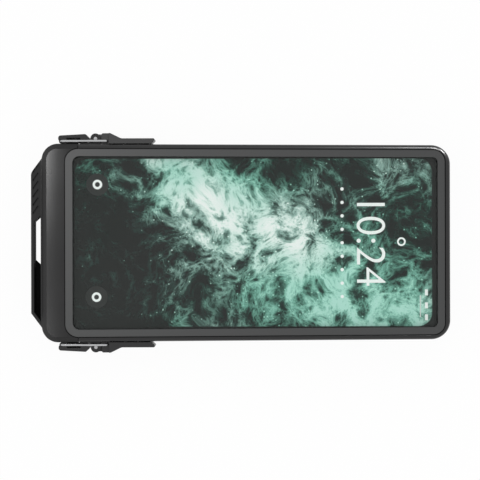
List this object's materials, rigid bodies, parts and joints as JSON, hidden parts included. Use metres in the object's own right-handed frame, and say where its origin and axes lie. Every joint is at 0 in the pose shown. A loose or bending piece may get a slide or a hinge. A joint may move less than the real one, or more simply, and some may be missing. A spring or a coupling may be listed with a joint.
{
  "type": "waterproof phone case",
  "caption": "Slim waterproof case for a large phone: drafted sleeve with a clear touch window, closed by an end cap that wire bail latches hold on.",
  "frame": {"origin": "under the middle of the closed case, in the plane that its back rests on", "axes": "+X from the end cap to the closed end along the case, +Z out of the touch window, +Y towards the latch at the top of the picture"},
  "size_m": [0.1828, 0.0958, 0.018],
  "materials": {
    "shell": "satin black moulded polycarbonate",
    "frame": "fine-matt dark grey moulded plastic",
    "latch": "satin black moulded nylon",
    "film": "clear glossy polycarbonate film",
    "lens": "clear polished window",
    "card": "printed card, charcoal with pale green-white swirls",
    "foam": "closed-cell foam",
    "seal": "matt black silicone",
    "ring_seal": "smooth red-brown silicone",
    "steel": "bright drawn stainless steel"
  },
  "bodies": {
    "case": {"sleeve": "shell", "window_frame": "frame", "touch_membrane": "film", "membrane_seal": "seal", "neck_gasket": "ring_seal", "display_card": "card", "back_pad": "foam", "lens_window": "lens", "lens_gasket": "seal", "lens_bezel": "frame", "lever_pin_top": "steel", "lever_pin_bottom": "steel"},
    "cap": {"end_cap": "shell", "cap_pad": "foam", "keeper_screws": "steel", "keeper_top": "latch", "keeper_bottom": "latch"},
    "bail_top": {"bail_top": "steel"},
    "bail_bottom": {"bail_bottom": "steel"},
    "lever_top": {"lever_top": "latch"},
    "lever_bottom": {"lever_bottom": "latch"}
  },
  "joints": [
    {"name": "cap_slide", "type": "slide", "parent": "case", "child": "cap", "axis": [-1, 0, 0], "range_m": [0, 0.024]},
    {"name": "lever_top_hinge", "type": "hinge", "parent": "case", "child": "lever_top", "pos_m": [-0.06323, 0.04561, 0.009], "axis": [0, 0, 1], "range_deg": [0, 120]},
    {"name": "lever_bottom_hinge", "type": "hinge", "parent": "case", "child": "lever_bottom", "pos_m": [-0.06323, -0.04561, 0.009], "axis": [0, 0, -1], "range_deg": [0, 120]},
    {"name": "bail_top_hinge", "type": "hinge", "parent": "cap", "child": "bail_top", "pos_m": [-0.07802, 0.04441, 0.009], "axis": [0, 0, 1], "range_deg": [0, 90]},
    {"name": "bail_bottom_hinge", "type": "hinge", "parent": "cap", "child": "bail_bottom", "pos_m": [-0.07802, -0.04441, 0.009], "axis": [0, 0, -1], "range_deg": [0, 90]}
  ],
  "couplings": [
    {"joint": "lever_top_hinge", "follows": "cap_slide", "rad_per_m": 87.26},
    {"joint": "lever_bottom_hinge", "follows": "cap_slide", "rad_per_m": 87.26},
    {"joint": "bail_top_hinge", "follows": "cap_slide", "rad_per_m": 65.44},
    {"joint": "bail_bottom_hinge", "follows": "cap_slide", "rad_per_m": 65.44}
  ]
}
